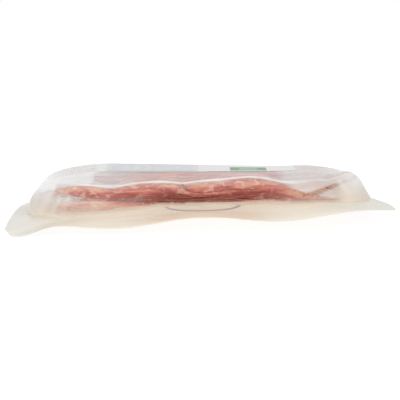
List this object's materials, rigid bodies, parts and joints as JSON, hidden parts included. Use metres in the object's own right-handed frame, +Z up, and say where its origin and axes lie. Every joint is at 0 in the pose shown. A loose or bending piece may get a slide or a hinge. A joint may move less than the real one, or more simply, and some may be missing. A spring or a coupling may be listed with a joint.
{
  "type": "pack of sliced salami",
  "caption": "Sealed clear film pack of sliced salami, lying flat: formed pocket over the slices, wavy welded flange, and a printed label stuck on top.",
  "frame": {"origin": "on the surface that the pack lies on, under the middle of the flange's outline", "axes": "+X along the long side to the right, +Y away from the wide flange, +Z up"},
  "size_m": [0.2, 0.138, 0.0281],
  "materials": {
    "web_film": "cream sealing film with a soft gloss",
    "film_over_slices": "clear film over red marbled slices",
    "label_print": "white satin label with plain printed fields",
    "salami": "moist red meat with pale fat"
  },
  "bodies": {
    "root": {"lower_web": "web_film", "pocket": "film_over_slices", "label": "label_print"}
  },
  "joints": []
}
